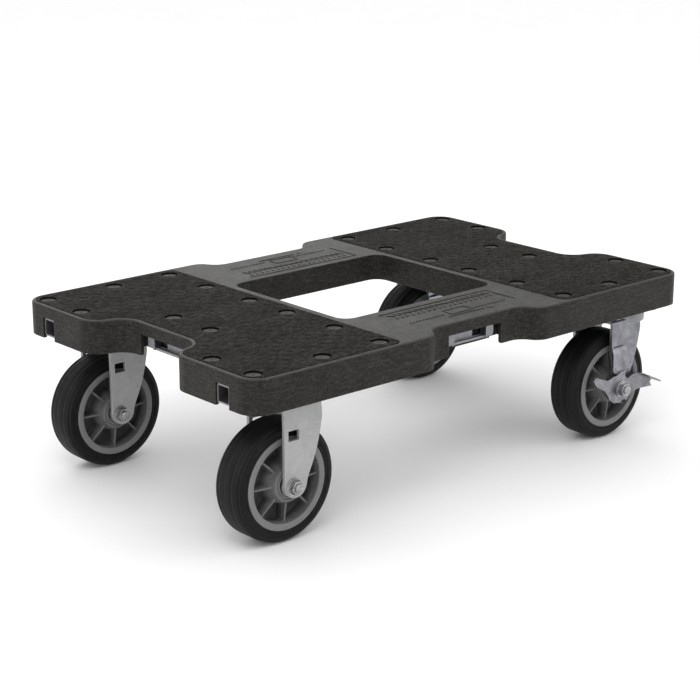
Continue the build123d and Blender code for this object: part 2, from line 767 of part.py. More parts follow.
tyre = make_tyre()
core = make_core()
bearings = make_bearings()
spacer = make_spacer()
washers = make_hub_washers()
rigid_fork = make_rigid_fork()
yoke = make_yoke()
lever = make_brake_lever()
leaf = make_brake_leaf()
rigid_nut_start = leg_outer
swivel_nut_start = leg_outer + lever_standoff + lever_thickness + 0.3

rigid_bolts = []
rigid_nuts = []
rigid_spacers = []
rigid_washers = []
for side, label in ((-1, "front"), (1, "rear")):
    left = Pos(rigid_wheel_x, side * rigid_wheel_y, axle_z)
    right = Pos(swivel_wheel_x, side * swivel_wheel_y, axle_z)
    pivot = Pos(swivel_axis_x, side * swivel_wheel_y, 0)
    for place, end_label in ((left, "left"), (right, "right")):
        name = label + "_" + end_label
        nodes[name + "_tyre"] = place * tyre
        nodes[name + "_wheel_core"] = place * core
        nodes[name + "_wheel_bearings"] = [place * b for b in bearings]
    nodes[label + "_left_fork"] = left * rigid_fork
    rigid_bolts.append(left * make_axle_bolt(rigid_nut_start))
    rigid_nuts.append(left * make_axle_nut(rigid_nut_start))
    rigid_spacers.append(left * spacer)
    rigid_washers += [left * w for w in washers]
    name = label + "_right"
    nodes[name + "_swivel_plate"] = pivot * make_swivel_plate()
    nodes[name + "_swivel_balls"] = [pivot * b for b in make_balls()]
    nodes[name + "_kingpin"] = pivot * make_kingpin()
    nodes[name + "_kingpin_nut"] = pivot * make_kingpin_nut()
    nodes[name + "_yoke"] = right * yoke
    nodes[name + "_axle_bolt"] = right * make_axle_bolt(swivel_nut_start)
    nodes[name + "_axle_nut"] = right * make_axle_nut(swivel_nut_start)
    nodes[name + "_axle_spacer"] = right * spacer
    nodes[name + "_hub_washers"] = [right * w for w in washers]
    nodes[name + "_brake_lever"] = right * lever
    nodes[name + "_brake_leaf"] = right * leaf
nodes["left_axle_bolts"] = rigid_bolts
nodes["left_axle_nuts"] = rigid_nuts
nodes["left_axle_spacers"] = rigid_spacers
nodes["left_hub_washers"] = rigid_washers

os.makedirs("parts", exist_ok=True)
for name, shape in nodes.items():
    if isinstance(shape, list):
        shape = Compound(children=[piece.solid() for piece in shape])
    export_step(shape, "parts/" + name + ".step")
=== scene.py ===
"""Platform dolly: builds the detailed pieces, finishes and stage round the imported frame."""

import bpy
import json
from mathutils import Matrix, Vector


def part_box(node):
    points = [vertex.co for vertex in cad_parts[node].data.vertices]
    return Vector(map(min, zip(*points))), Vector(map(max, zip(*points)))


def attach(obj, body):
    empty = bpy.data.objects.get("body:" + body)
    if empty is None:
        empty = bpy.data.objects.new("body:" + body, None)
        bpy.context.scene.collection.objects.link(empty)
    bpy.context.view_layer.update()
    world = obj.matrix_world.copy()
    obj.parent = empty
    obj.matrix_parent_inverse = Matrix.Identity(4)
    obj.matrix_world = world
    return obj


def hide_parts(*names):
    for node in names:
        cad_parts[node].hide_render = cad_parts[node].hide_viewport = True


bl_info = {
    "name": "Platform Dolly Workshop",
    "version": (1, 0, 0),
    "blender": (4, 5, 0),
    "location": "View3D > Sidebar > Dolly",
    "description": "Builds a moulded platform dolly with tread pads, casters and side brakes",
    "category": "Object",
}

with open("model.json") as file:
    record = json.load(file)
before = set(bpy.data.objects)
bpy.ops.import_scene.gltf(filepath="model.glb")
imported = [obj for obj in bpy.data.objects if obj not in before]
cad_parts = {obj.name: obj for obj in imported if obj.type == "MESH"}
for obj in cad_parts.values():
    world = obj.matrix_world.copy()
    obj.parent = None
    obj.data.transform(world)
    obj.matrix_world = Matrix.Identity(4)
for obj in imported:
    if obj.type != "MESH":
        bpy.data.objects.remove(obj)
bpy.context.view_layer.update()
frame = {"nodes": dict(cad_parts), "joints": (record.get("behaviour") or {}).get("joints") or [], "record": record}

import json
import math

import bmesh
import bpy
from mathutils import Matrix, Vector

# ---------------------------------------------------------------- sizes taken from the frame (millimetres)

MM = 1000.0


def top_corner(node):
    """Highest corner of a node."""
    return [round(value * MM, 2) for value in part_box(node)[1]]


JOINTS = {joint["name"]: [round(value * MM, 3) for value in joint["pos_m"]] for joint in frame["joints"]}
WHEELS = {corner: tuple(JOINTS[corner + "_wheel_spin"][:2])
          for corner in ("front_left", "rear_left", "front_right", "rear_right")}
AXLE_Z = JOINTS["front_left_wheel_spin"][2]
TRAIL = JOINTS["front_right_swivel"][0] - WHEELS["front_right"][0]
HALF_LENGTH, HALF_WIDTH, DECK_TOP = top_corner("deck")
PAD_TOP = top_corner("left_tread_pad")[2]

# ---------------------------------------------------------------- shape of the rebuilt pieces (millimetres)

CORNER = 30.0
NOTCH_FLAT, NOTCH_END, NOTCH_DEPTH = 55.0, 118.0, 52.0
PAD_INNER, PAD_RIM, PAD_CORNER, PAD_THICKNESS = 153.0, 5.8, 15.0, 5.0
SEAT_RADIUS, SEAT_DEPTH = 12.0, 3.6
BAR_WIDTH, BAR_FIRST, BAR_MARGIN = 3.4, 160.0, 14.0
TYRE_RADIUS, TREAD_HALF, SHOULDER = AXLE_Z, 25.0, 11.0
SPOKES, SPOKE_HALF = 8, 1.3
LEG_OUTER, LEG_THICK, LEG_BACK, LEG_FRONT = 38.3, 5.0, -14.0, 48.0
CURVE_LOW, CURVE_HIGH = 10.0, 85.0
FOOT_X, FOOT_LEVEL, FOOT_RADIUS = 4.0, 1.5, 18.0
AXLE_HOLE, KINGPIN_HOLE = 6.1, 7.1
FORK_MIDDLE, FORK_TOP, FORK_PLATE, YOKE_TOP = 17.0, 112.0, 5.0, 103.0


# ---------------------------------------------------------------- what a user may change


class DollySizes(bpy.types.PropertyGroup):
    """Sizes of the dolly's surface detail."""

    tread_bar: bpy.props.FloatProperty(
        name="Tread bar length", description="Length of one raised bar of the tread pads",
        default=0.0125, min=0.004, max=0.03, unit="LENGTH")
    tread_pitch: bpy.props.FloatProperty(
        name="Tread pitch", description="Distance between neighbouring tread bars",
        default=0.0130, min=0.006, max=0.04, unit="LENGTH")
    tread_height: bpy.props.FloatProperty(
        name="Tread height", description="How far a tread bar stands above its pad",
        default=0.0006, min=0.0001, max=0.003, unit="LENGTH")
    steel_edge: bpy.props.FloatProperty(
        name="Steel edge round", description="Rounding of the pressed steel parts' edges",
        default=0.0006, min=0.0001, max=0.002, unit="LENGTH")
    relief_height: bpy.props.FloatProperty(
        name="Relief height", description="Height of the raised lines on the middle of the deck",
        default=0.0009, min=0.0001, max=0.002, unit="LENGTH")


def colour_prop(name, description, default):
    return bpy.props.FloatVectorProperty(
        name=name, description=description, subtype="COLOR", size=3, min=0.0, max=1.0, default=default)


class DollyColours(bpy.types.PropertyGroup):
    """Base colours of the dolly's finishes."""

    deck: colour_prop("Deck plastic", "Moulded deck", (0.0150, 0.0142, 0.0124))
    pad: colour_prop("Pad rubber", "Tread pads", (0.0158, 0.0150, 0.0130))
    rivet: colour_prop("Rivets", "Rivets that hold the pads", (0.030, 0.029, 0.0265))
    tyre: colour_prop("Tyre rubber", "Wheel treads", (0.0040, 0.0040, 0.0042))
    core: colour_prop("Wheel centre", "Moulded wheel centres", (0.125, 0.125, 0.127))
    fork: colour_prop("Fork zinc", "Plated fixed forks", (0.37, 0.37, 0.372))
    brake: colour_prop("Brake zinc", "Plated yokes, levers and leaves", (0.225, 0.227, 0.245))
    anchor: colour_prop("Anchor steel", "Galvanised anchors and sockets", (0.27, 0.272, 0.285))
    fastener: colour_prop("Fastener zinc", "Plated bolts, nuts and screws", (0.33, 0.33, 0.335))
    floor: colour_prop("Floor", "Studio floor", (0.95, 0.95, 0.95))


# ---------------------------------------------------------------- shaping helpers (millimetres)


def arc(cx, cy, radius, start, stop, steps=10):
    """Points of an arc, angles in degrees."""
    points = []
    for k in range(steps + 1):
        angle = math.radians(start + (stop - start) * k / steps)
        points.append((cx + radius * math.cos(angle), cy + radius * math.sin(angle)))
    return points


def rounded(points, radius, steps=5):
    """Closed outline with every corner rounded, radius one number or one for each corner."""
    count = len(points)
    radii = [radius] * count if isinstance(radius, (int, float)) else radius
    result = []
    for k in range(count):
        before, here, after = (Vector(points[(k + d) % count]) for d in (-1, 0, 1))
        a, b = (before - here), (after - here)
        reach = min(radii[k], a.length * 0.45, b.length * 0.45)
        start, end = here + a.normalized() * reach, here + b.normalized() * reach
        for s in range(steps + 1):
            t = s / steps
            spot = start * (1 - t) ** 2 + here * 2 * t * (1 - t) + end * t * t
            result.append((spot.x, spot.y))
    return result


def lathe(profile, segments=120, closed=True):
    """Solid turned about Y from (radius, along) points; the profile is a closed loop or runs axis to axis."""
    bm = bmesh.new()
    rings = []
    for radius, along in profile:
        if radius < 1e-6:
            rings.append([bm.verts.new((0, along, 0))])
        else:
            rings.append([
                bm.verts.new((radius * math.cos(2 * math.pi * s / segments), along,
                              radius * math.sin(2 * math.pi * s / segments)))
                for s in range(segments)])
    pairs = list(zip(rings, rings[1:]))
    if closed:
        pairs.append((rings[-1], rings[0]))
    for low, high in pairs:
        for s in range(segments):
            t = (s + 1) % segments
            corners = [low[s % len(low)], low[t % len(low)], high[t % len(high)], high[s % len(high)]]
            corners = list(dict.fromkeys(corners))
            if len(corners) > 2:
                bm.faces.new(corners)
    bmesh.ops.recalc_face_normals(bm, faces=bm.faces)
    return bm


def plate(loops, low, high, edge=0.5, rounds=2):
    """Plate in XY between two heights with rounded edges: an outline first, then its holes."""
    curve = bpy.data.curves.new("outline", "CURVE")
    curve.dimensions = "2D"
    curve.fill_mode = "BOTH"
    curve.extrude = (high - low) / 2 - edge
    curve.bevel_depth = edge
    curve.bevel_resolution = rounds
    curve.offset = -edge
    for loop in loops:
        spline = curve.splines.new("POLY")
        spline.points.add(len(loop) - 1)
        for point, (x, y) in zip(spline.points, loop):
            point.co = (x, y, 0, 1)
        spline.use_cyclic_u = True
    shape = bpy.data.objects.new("outline", curve)
    mesh = bpy.data.meshes.new_from_object(shape)
    bm = bmesh.new()
    bm.from_mesh(mesh)
    bmesh.ops.remove_doubles(bm, verts=bm.verts, dist=0.0005)
    bmesh.ops.dissolve_degenerate(bm, edges=bm.edges, dist=0.0001)
    bmesh.ops.translate(bm, verts=bm.verts, vec=(0, 0, (low + high) / 2))
    bmesh.ops.recalc_face_normals(bm, faces=bm.faces)
    bpy.data.objects.remove(shape)
    bpy.data.curves.remove(curve)
    bpy.data.meshes.remove(mesh)
    return bm


def moved(bm, matrix):
    bmesh.ops.transform(bm, matrix=matrix, verts=bm.verts)
    if matrix.determinant() < 0:
        bmesh.ops.reverse_faces(bm, faces=bm.faces)
    return bm


def shift(bm, x=0.0, y=0.0, z=0.0):
    return moved(bm, Matrix.Translation((x, y, z)))


def together(*parts):
    """One bmesh with every part's faces."""
    whole = bmesh.new()
    for part in parts:
        mesh = bpy.data.meshes.new("part")
        part.to_mesh(mesh)
        part.free()
        whole.from_mesh(mesh)
        bpy.data.meshes.remove(mesh)
    return whole


def standing(bm, y=0.0):
    """Turn a plate made in XY so that its Y points up and its Z points to -Y."""
    return moved(bm, Matrix.Translation((0, y, 0)) @ Matrix.Rotation(math.pi / 2, 4, "X"))


def workpiece(bm):
    mesh = bpy.data.meshes.new("work")
    bm.to_mesh(mesh)
    bm.free()
    thing = bpy.data.objects.new("work", mesh)
    bpy.context.scene.collection.objects.link(thing)
    return thing


def shaped(bm, steps):
    """Geometry after modifiers, given as (type, {setting: value}); a bmesh value is a cutter."""
    thing = workpiece(bm)
    helpers = []
    for kind, settings in steps:
        modifier = thing.modifiers.new("step", kind)
        for key, value in settings.items():
            if isinstance(value, bmesh.types.BMesh):
                value = workpiece(value)
                helpers.append(value)
            setattr(modifier, key, value)
    depsgraph = bpy.context.evaluated_depsgraph_get()
    result = bmesh.new()
    result.from_object(thing, depsgraph)
    for helper in [thing, *helpers]:
        mesh = helper.data
        bpy.data.objects.remove(helper)
        bpy.data.meshes.remove(mesh)
    return result


def cut(bm, *cutters, how="DIFFERENCE"):
    steps = [("BOOLEAN", {"operation": how, "solver": "EXACT", "object": cutter}) for cutter in cutters]
    return shaped(bm, steps)


def prism(outline, low, high):
    """Plain prism used as a cutter."""
    bm = bmesh.new()
    bottom = [bm.verts.new((x, y, low)) for x, y in outline]
    top = [bm.verts.new((x, y, high)) for x, y in outline]
    bm.faces.new(list(reversed(bottom)))
    bm.faces.new(top)
    count = len(outline)
    for k in range(count):
        n = (k + 1) % count
        bm.faces.new((bottom[k], bottom[n], top[n], top[k]))
    bmesh.ops.recalc_face_normals(bm, faces=bm.faces)
    return bm


def upright(bm):
    """Turn a lathed shape so that its axis points up."""
    return moved(bm, Matrix.Rotation(math.pi / 2, 4, "X"))


def metre_mesh(name, bm):
    """Mesh in metres from millimetre geometry."""
    bmesh.ops.scale(bm, vec=(1 / MM, 1 / MM, 1 / MM), verts=bm.verts)
    mesh = bpy.data.meshes.new(name)
    bm.normal_update()
    bm.to_mesh(mesh)
    bm.free()
    return mesh


def add_piece(name, bm, finish, stands_for=(), sharp=34):
    """Turn millimetre geometry into a finished piece of the platform."""
    return place_piece(name, metre_mesh(name, bm), finish, "platform", (0, 0, 0), stands_for, sharp)


def place_piece(name, mesh, finish, body, at, stands_for, sharp=34):
    """Piece that rides on a body; a mesh used by several pieces is finished once."""
    if not mesh.materials:
        mesh.shade_smooth()
        mesh.set_sharp_from_angle(angle=math.radians(sharp))
        mesh.materials.append(finish_called(finish))
    thing = bpy.data.objects.new(name, mesh)
    thing.location = Vector(at) / MM
    bpy.context.scene.collection.objects.link(thing)
    if stands_for:
        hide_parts(*stands_for)
    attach(thing, body)
    return thing


# ---------------------------------------------------------------- finishes


def finish_called(name):
    """The finish made here, not the plain one of the same name that comes with the frame."""
    return bpy.data.materials["dolly_" + name]


class Surface:
    """Node graph of one finish, grown step by step."""

    def __init__(self, name, colour, roughness, metallic=0.0):
        self.material = bpy.data.materials.new("dolly_" + name)
        self.material.use_nodes = True
        self.material.diffuse_color = (*colour, 1)
        self.tree = self.material.node_tree
        self.tree.nodes.clear()
        self.shader = self.add("ShaderNodeBsdfPrincipled")
        out = self.add("ShaderNodeOutputMaterial")
        self.link(self.shader.outputs[0], out.inputs[0])
        self.shader.inputs["Metallic"].default_value = metallic
        self.place = self.add("ShaderNodeTexCoord").outputs["Object"]
        self.colour = self.add("ShaderNodeRGB").outputs[0]
        self.colour.default_value = (*colour, 1)
        self.rough = self.add("ShaderNodeValue").outputs[0]
        self.rough.default_value = roughness
        self.normal = None

    def add(self, kind, **settings):
        node = self.tree.nodes.new(kind)
        for key, value in settings.items():
            setattr(node, key, value)
        return node

    def link(self, source, target):
        self.tree.links.new(source, target)

    def feed(self, node, name, value):
        if hasattr(value, "is_output"):
            self.link(value, node.inputs[name])
        else:
            node.inputs[name].default_value = value

    def noise(self, scale, detail=3.0, roughness=0.55, stretch=None, distortion=0.0):
        node = self.add("ShaderNodeTexNoise")
        node.inputs["Scale"].default_value = scale
        node.inputs["Detail"].default_value = detail
        node.inputs["Roughness"].default_value = roughness
        node.inputs["Distortion"].default_value = distortion
        place = self.place
        if stretch:
            mapping = self.add("ShaderNodeMapping")
            mapping.inputs["Scale"].default_value = stretch
            self.link(self.place, mapping.inputs["Vector"])
            place = mapping.outputs[0]
        self.link(place, node.inputs["Vector"])
        return node.outputs["Fac"]

    def cells(self, scale, feature="F1"):
        node = self.add("ShaderNodeTexVoronoi", feature=feature)
        node.inputs["Scale"].default_value = scale
        self.link(self.place, node.inputs["Vector"])
        return node

    def band(self, source, low, high, bottom=0.0, top=1.0):
        """Remap a grey value smoothly from low..high to bottom..top."""
        node = self.add("ShaderNodeMapRange", interpolation_type="SMOOTHSTEP")
        for name, value in (("From Min", low), ("From Max", high), ("To Min", bottom), ("To Max", top)):
            node.inputs[name].default_value = value
        self.link(source, node.inputs["Value"])
        return node.outputs["Result"]

    def times(self, a, b):
        node = self.add("ShaderNodeMath", operation="MULTIPLY")
        self.feed(node, 0, a)
        self.feed(node, 1, b)
        return node.outputs[0]

    def tint(self, mask, colour, amount=1.0):
        """Blend the colour towards another where the mask is high."""
        node = self.add("ShaderNodeMix", data_type="RGBA")
        self.feed(node, 0, self.times(mask, amount))
        self.link(self.colour, node.inputs[6])
        node.inputs[7].default_value = (*colour, 1)
        self.colour = node.outputs[2]

    def roughen(self, mask, amount):
        """Add a signed share of the mask to the roughness."""
        node = self.add("ShaderNodeMath", operation="MULTIPLY_ADD", use_clamp=True)
        self.feed(node, 0, mask)
        self.feed(node, 1, amount)
        self.feed(node, 2, self.rough)
        self.rough = node.outputs[0]

    def bump(self, height, distance, strength=1.0):
        node = self.add("ShaderNodeBump")
        node.inputs["Strength"].default_value = strength
        node.inputs["Distance"].default_value = distance
        self.link(height, node.inputs["Height"])
        if self.normal:
            self.link(self.normal, node.inputs["Normal"])
        self.normal = node.outputs[0]

    def soften(self, radius):
        """Round sharp edges in the shading."""
        node = self.add("ShaderNodeBevel", samples=4)
        node.inputs["Radius"].default_value = radius
        self.normal = node.outputs[0]

    def edges(self, radius=0.0015):
        """Mask that is high along the piece's outer edges."""
        bevel = self.add("ShaderNodeBevel", samples=4)
        bevel.inputs["Radius"].default_value = radius
        flat = self.add("ShaderNodeNewGeometry").outputs["Normal"]
        dot = self.add("ShaderNodeVectorMath", operation="DOT_PRODUCT")
        self.link(bevel.outputs[0], dot.inputs[0])
        self.link(flat, dot.inputs[1])
        return self.band(dot.outputs["Value"], 0.995, 0.86)

    def facing_up(self):
        """How far the surface faces up, from -1 to 1."""
        split = self.add("ShaderNodeSeparateXYZ")
        self.link(self.add("ShaderNodeTexCoord").outputs["Normal"], split.inputs[0])
        return split.outputs["Z"]

    def upward(self):
        """Mask of surfaces that face up."""
        return self.band(self.facing_up(), 0.9, 0.99)

    def rounded_rim(self):
        """Mask of the rounded edge between a level top and an upright side."""
        level = self.facing_up()
        return self.times(self.band(level, 0.35, 0.7), self.band(level, 0.985, 0.88))

    def coordinate(self, axis):
        split = self.add("ShaderNodeSeparateXYZ")
        self.link(self.place, split.inputs[0])
        return split.outputs[axis]

    def distance_from_middle(self):
        """Distance from the piece's middle plane across Y."""
        depth = self.add("ShaderNodeMath", operation="ABSOLUTE")
        self.link(self.coordinate("Y"), depth.inputs[0])
        return depth.outputs[0]

    def radius_about_y(self):
        """Distance from the piece's own Y axis."""
        flat = self.add("ShaderNodeVectorMath", operation="MULTIPLY")
        self.link(self.place, flat.inputs[0])
        flat.inputs[1].default_value = (1, 0, 1)
        length = self.add("ShaderNodeVectorMath", operation="LENGTH")
        self.link(flat.outputs[0], length.inputs[0])
        return length.outputs["Value"]

    def line(self, source, middle, half):
        """Thin line where the source is within half of the middle."""
        return self.times(self.band(source, middle - half, middle - half * 0.3),
                          self.band(source, middle + half, middle + half * 0.3))

    def done(self, **constants):
        self.link(self.colour, self.shader.inputs["Base Color"])
        self.link(self.rough, self.shader.inputs["Roughness"])
        if self.normal:
            self.link(self.normal, self.shader.inputs["Normal"])
        for name, value in constants.items():
            self.shader.inputs[name.replace("_", " ")].default_value = value
        return self.material


def lighter(colour, factor):
    return tuple(min(1.0, channel * factor) for channel in colour)


def deck_plastic(colour):
    """Recycled moulded plastic: cloudy tone, flow streaks, speckle, a painted sheen on the top and painted
    highlights along the rims.
    """
    s = Surface("deck_plastic", colour, 0.40)
    s.soften(0.0009)
    # painted sheen: faces that look up are tinted lighter, as the top catches the light
    s.tint(s.upward(), lighter(colour, 1.9), 0.7)
    s.tint(s.band(s.noise(11, 5, 0.6), 0.35, 0.7), lighter(colour, 1.9), 0.5)
    streaks = s.noise(95, 4, 0.7, (1, 1, 5), 0.6)
    s.tint(s.band(streaks, 0.48, 0.66), lighter(colour, 3.4), 0.55)
    s.tint(s.band(streaks, 0.5, 0.32), lighter(colour, 0.35), 0.7)
    grain = s.noise(330, 3, 0.65)
    s.tint(s.band(grain, 0.52, 0.7), lighter(colour, 3.4), 0.55)
    s.tint(s.band(grain, 0.5, 0.34), lighter(colour, 0.3), 0.6)
    # painted highlight: the rounded rims and edges are tinted lighter, as they catch the light
    s.tint(s.rounded_rim(), lighter(colour, 4.6), 0.6)
    s.tint(s.edges(0.0022), lighter(colour, 4.5), 0.5)
    scratches = s.band(s.noise(38, 3, 0.5, (1, 14, 1), 1.5), 0.66, 0.74)
    s.tint(scratches, lighter(colour, 2.4), 0.3)
    s.roughen(s.noise(24, 4), 0.16)
    s.roughen(scratches, 0.12)
    s.bump(grain, 0.00025, 0.8)
    s.bump(s.noise(120, 3, 0.5), 0.0003, 0.7)
    return s.done(Specular_IOR_Level=0.14)


def pad_rubber(colour):
    """Dense rubber: mottled in short dashes, speckled with lighter crumbs, painted highlights along its edges and
    painted shade in the rivet seats and below the bars.
    """
    s = Surface("pad_rubber", colour, 0.72)
    s.tint(s.band(s.noise(14, 5, 0.6), 0.35, 0.7), lighter(colour, 1.7), 0.55)
    dashes = s.noise(120, 3, 0.6, (1, 3.4, 1), 0.4)
    s.tint(s.band(dashes, 0.53, 0.38), lighter(colour, 0.18), 0.85)
    s.tint(s.band(dashes, 0.52, 0.66), lighter(colour, 3.4), 0.6)
    s.tint(s.band(s.noise(520, 2), 0.58, 0.72), lighter(colour, 3.4), 0.55)
    specks = s.cells(62)
    s.tint(s.band(specks.outputs["Distance"], 0.085, 0.05), lighter(colour, 9.0), 0.55)
    # painted highlight along the pad's edges
    s.tint(s.edges(0.0012), lighter(colour, 3.5), 0.3)
    # painted shade: everything below the bars' feet, the rivet seats and the sheet's sides, is tinted nearly black
    painted_shade_below_bars = s.band(s.coordinate("Z"), (PAD_TOP - 0.7) / MM, (PAD_TOP - 1.3) / MM)
    s.tint(painted_shade_below_bars, lighter(colour, 0.1), 0.95)
    s.roughen(s.noise(90, 3), 0.18)
    s.bump(s.noise(420, 2, 0.6), 0.0003)
    return s.done(Specular_IOR_Level=0.06)


def rivet_plastic(colour):
    s = Surface("rivet_plastic", colour, 0.45)
    s.tint(s.band(s.noise(180, 3), 0.4, 0.7), lighter(colour, 0.7), 0.5)
    s.tint(s.band(s.noise(600, 3), 0.55, 0.72), lighter(colour, 3.0), 0.5)
    s.tint(s.edges(0.0008), lighter(colour, 2.6), 0.5)
    s.roughen(s.noise(500, 3), 0.15)
    s.bump(s.noise(700, 2), 0.0001)
    return s.done(Specular_IOR_Level=0.14)


def tyre_rubber(colour):
    """Black rubber with a dusty bloom, turning marks and soft handling marks."""
    s = Surface("tyre_rubber", colour, 0.48)
    s.tint(s.band(s.noise(22, 5, 0.65), 0.4, 0.75), lighter(colour, 3.2), 0.5)
    s.tint(s.band(s.noise(450, 3), 0.52, 0.75), lighter(colour, 3.5), 0.4)
    s.tint(s.edges(0.0012), lighter(colour, 8.0), 0.4)
    across = s.distance_from_middle()
    for place, strength in ((0.0006, 0.35), (0.0126, 0.5), (0.0165, 0.28), (0.0195, 0.4), (0.0226, 0.25)):
        s.tint(s.line(across, place, 0.0006), lighter(colour, 12.0), strength)
    rings = s.add("ShaderNodeTexWave", wave_type="RINGS", rings_direction="Y")
    rings.inputs["Scale"].default_value = 110
    rings.inputs["Distortion"].default_value = 0.6
    rings.inputs["Detail Scale"].default_value = 3
    s.link(s.place, rings.inputs["Vector"])
    s.bump(rings.outputs["Fac"], 0.00004, 0.6)
    s.roughen(s.noise(60, 4), 0.2)
    s.bump(s.noise(1500, 2), 0.00008)
    return s.done(Specular_IOR_Level=0.16)


def core_plastic(colour):
    """Grey moulded wheel centre with a fine spark-eroded texture."""
    s = Surface("core_plastic", colour, 0.42)
    s.soften(0.0006)
    s.tint(s.band(s.noise(40, 5, 0.6), 0.35, 0.75), lighter(colour, 0.6), 0.55)
    s.tint(s.band(s.noise(420, 3, 0.6), 0.5, 0.72), lighter(colour, 1.7), 0.5)
    # darker towards the middle plane: painted shade in the web pockets, together with grime there
    s.tint(s.band(s.distance_from_middle(), 0.0195, 0.006), lighter(colour, 0.34), 0.85)
    s.tint(s.band(s.noise(75, 3, 0.6, None, 1.0), 0.55, 0.7), lighter(colour, 0.75), 0.45)
    s.tint(s.band(s.radius_about_y(), 0.0535, 0.0545), lighter(colour, 1.45), 0.75)
    s.tint(s.edges(0.0012), lighter(colour, 2.4), 0.75)
    s.roughen(s.noise(200, 3), 0.18)
    s.bump(s.noise(900, 3), 0.00012)
    return s.done(Specular_IOR_Level=0.3)


def plated_steel(name, colour, roughness, worn, cloudy, metallic=1.0):
    """Zinc plate: cloudy tone with painted reflections in it, fine brushing, dark handling marks and rubbed bright
    edges.
    """
    s = Surface(name, colour, roughness, metallic)
    s.soften(0.0005)
    # bright and dark clouds: the zinc's cloudy tone, strengthened as painted reflections of polished steel
    clouds_and_reflections = s.noise(34, 5, 0.65, None, 1.2)
    s.tint(s.band(clouds_and_reflections, 0.5, 0.68), lighter(colour, 1.75), cloudy)
    s.tint(s.band(clouds_and_reflections, 0.5, 0.34), lighter(colour, 0.42), cloudy)
    s.tint(s.band(s.noise(900, 2), 0.45, 0.8), lighter(colour, 0.7), cloudy)
    brushing = s.noise(520, 3, 0.6, (1, 1, 0.05))
    s.roughen(brushing, 0.14)
    scuffs = s.band(s.noise(75, 4, 0.7, (1, 1, 3), 2.0), 0.57, 0.66)
    s.tint(scuffs, lighter(colour, 0.4), 0.5 * worn)
    s.tint(s.edges(0.0012), lighter(colour, 2.3), 0.85 * worn)
    s.roughen(scuffs, 0.15)
    s.bump(s.noise(700, 3), 0.00005)
    s.bump(s.noise(60, 3), 0.0007, 0.6 * worn)
    return s.done()


def galvanised_steel(colour):
    """Dipped zinc with a soft spangle."""
    s = Surface("anchor_steel", colour, 0.38, 1.0)
    s.soften(0.0005)
    spangle = s.cells(260)
    grey = s.add("ShaderNodeRGBToBW")
    s.link(spangle.outputs["Color"], grey.inputs[0])
    s.tint(grey.outputs[0], lighter(colour, 0.72), 0.55)
    s.roughen(grey.outputs[0], 0.16)
    s.tint(s.edges(0.001), lighter(colour, 1.7), 0.6)
    s.tint(s.band(s.noise(45, 4), 0.5, 0.75), lighter(colour, 0.6), 0.35)
    s.bump(s.noise(800, 2), 0.00004)
    return s.done()


def brass(colour):
    s = Surface("insert_brass", colour, 0.34, 1.0)
    s.tint(s.band(s.noise(160, 3), 0.4, 0.7), lighter(colour, 0.6), 0.5)
    s.roughen(s.noise(600, 2), 0.15)
    s.bump(s.noise(900, 2), 0.00003)
    return s.done()


def floor_paint(colour):
    s = Surface("studio_floor", colour, 0.75)
    s.tint(s.band(s.noise(3, 3), 0.4, 0.7), lighter(colour, 0.985), 0.5)
    s.roughen(s.noise(40, 3), 0.1)
    return s.done(Specular_IOR_Level=0.1)


FINISH_OF_SLOT = {
    "deck_plastic": "deck_plastic",
    "pad_rubber": "pad_rubber",
    "rivet_plastic": "rivet_plastic",
    "tyre_rubber": "tyre_rubber",
    "wheel_core": "core_plastic",
    "bearing_steel": "bearing_steel",
    "fork_zinc": "fork_zinc",
    "anchor_steel": "anchor_steel",
    "brake_zinc": "brake_zinc",
    "fastener_zinc": "fastener_zinc",
    "insert_brass": "insert_brass",
}


class DOLLY_OT_finishes(bpy.types.Operator):
    """Make the finishes and give them to the parts carried over from the frame"""

    bl_idname = "dolly.finishes"
    bl_label = "Finishes"

    def execute(self, context):
        colours = context.scene.dolly_colours
        deck_plastic(tuple(colours.deck))
        pad_rubber(tuple(colours.pad))
        rivet_plastic(tuple(colours.rivet))
        tyre_rubber(tuple(colours.tyre))
        core_plastic(tuple(colours.core))
        plated_steel("fork_zinc", tuple(colours.fork), 0.5, 0.5, 0.12, 0.25)
        plated_steel("brake_zinc", tuple(colours.brake), 0.24, 1.0, 0.5, 0.9)
        plated_steel("fastener_zinc", tuple(colours.fastener), 0.25, 1.0, 0.7)
        plated_steel("bearing_steel", lighter(tuple(colours.brake), 0.8), 0.28, 0.8, 0.4)
        galvanised_steel(tuple(colours.anchor))
        brass((0.55, 0.38, 0.16))
        slots = {part["node"]: part["material_slot"] for part in frame["record"]["subparts"]}
        for node, thing in frame["nodes"].items():
            finish = finish_called(FINISH_OF_SLOT[slots[node]])
            for holder in thing.material_slots:
                holder.material = finish
        return {"FINISHED"}


# ---------------------------------------------------------------- deck and pads


def pad_edge(inset, inner):
    """Plan of the right-hand pad drawn in from the deck's edge, from its inner front corner anticlockwise."""
    swing = NOTCH_END - NOTCH_FLAT
    bend = (swing ** 2 + NOTCH_DEPTH ** 2) / (4 * NOTCH_DEPTH)
    turn = math.degrees(math.asin(swing / 2 / bend))
    notch_x = HALF_LENGTH - NOTCH_DEPTH
    low = -(HALF_WIDTH - inset)
    lower = arc(inner + PAD_CORNER, low + PAD_CORNER, PAD_CORNER, 180, 270, 8)
    lower += arc(HALF_LENGTH - CORNER, -(HALF_WIDTH - CORNER), CORNER - inset, -90, 0, 12)
    lower += arc(HALF_LENGTH - bend, -NOTCH_END, bend - inset, 0, turn, 12)
    lower += arc(notch_x + bend, -NOTCH_FLAT, bend + inset, 180 + turn, 180, 12)[1:]
    return lower + [(x, -y) for x, y in reversed(lower)]


